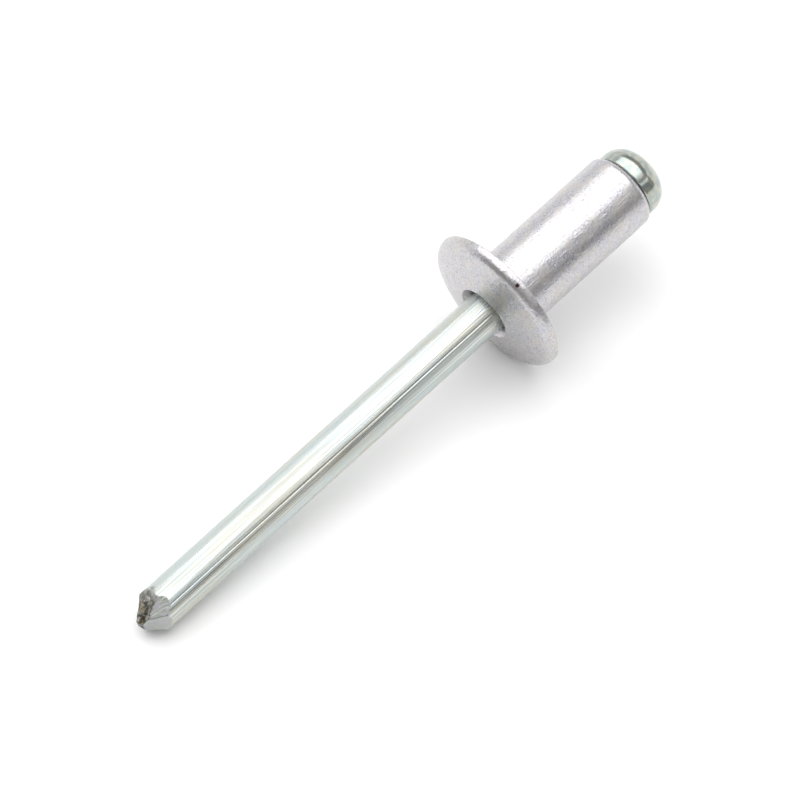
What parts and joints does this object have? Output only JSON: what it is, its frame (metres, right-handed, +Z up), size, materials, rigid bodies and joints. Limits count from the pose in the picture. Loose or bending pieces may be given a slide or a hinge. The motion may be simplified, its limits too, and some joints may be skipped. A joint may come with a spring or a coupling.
{
  "type": "blind rivet",
  "caption": "Unset dome-head blind rivet: a flanged aluminium body on a steel mandrel with a domed head, a hidden break neck and a pinched point.",
  "frame": {"origin": "on the floor, under the middle of the whole rivet's box as it lies", "axes": "+X from the mandrel's point towards the blind end, which rises 7.1 degrees from the floor; +Z up"},
  "size_m": [0.041, 0.0094, 0.0093],
  "materials": {
    "rivet_body": "tumbled satin",
    "mandrel": "bright zinc plate, drawn lengthwise"
  },
  "bodies": {
    "root": {"rivet_body": "rivet_body", "mandrel": "mandrel"}
  },
  "joints": []
}
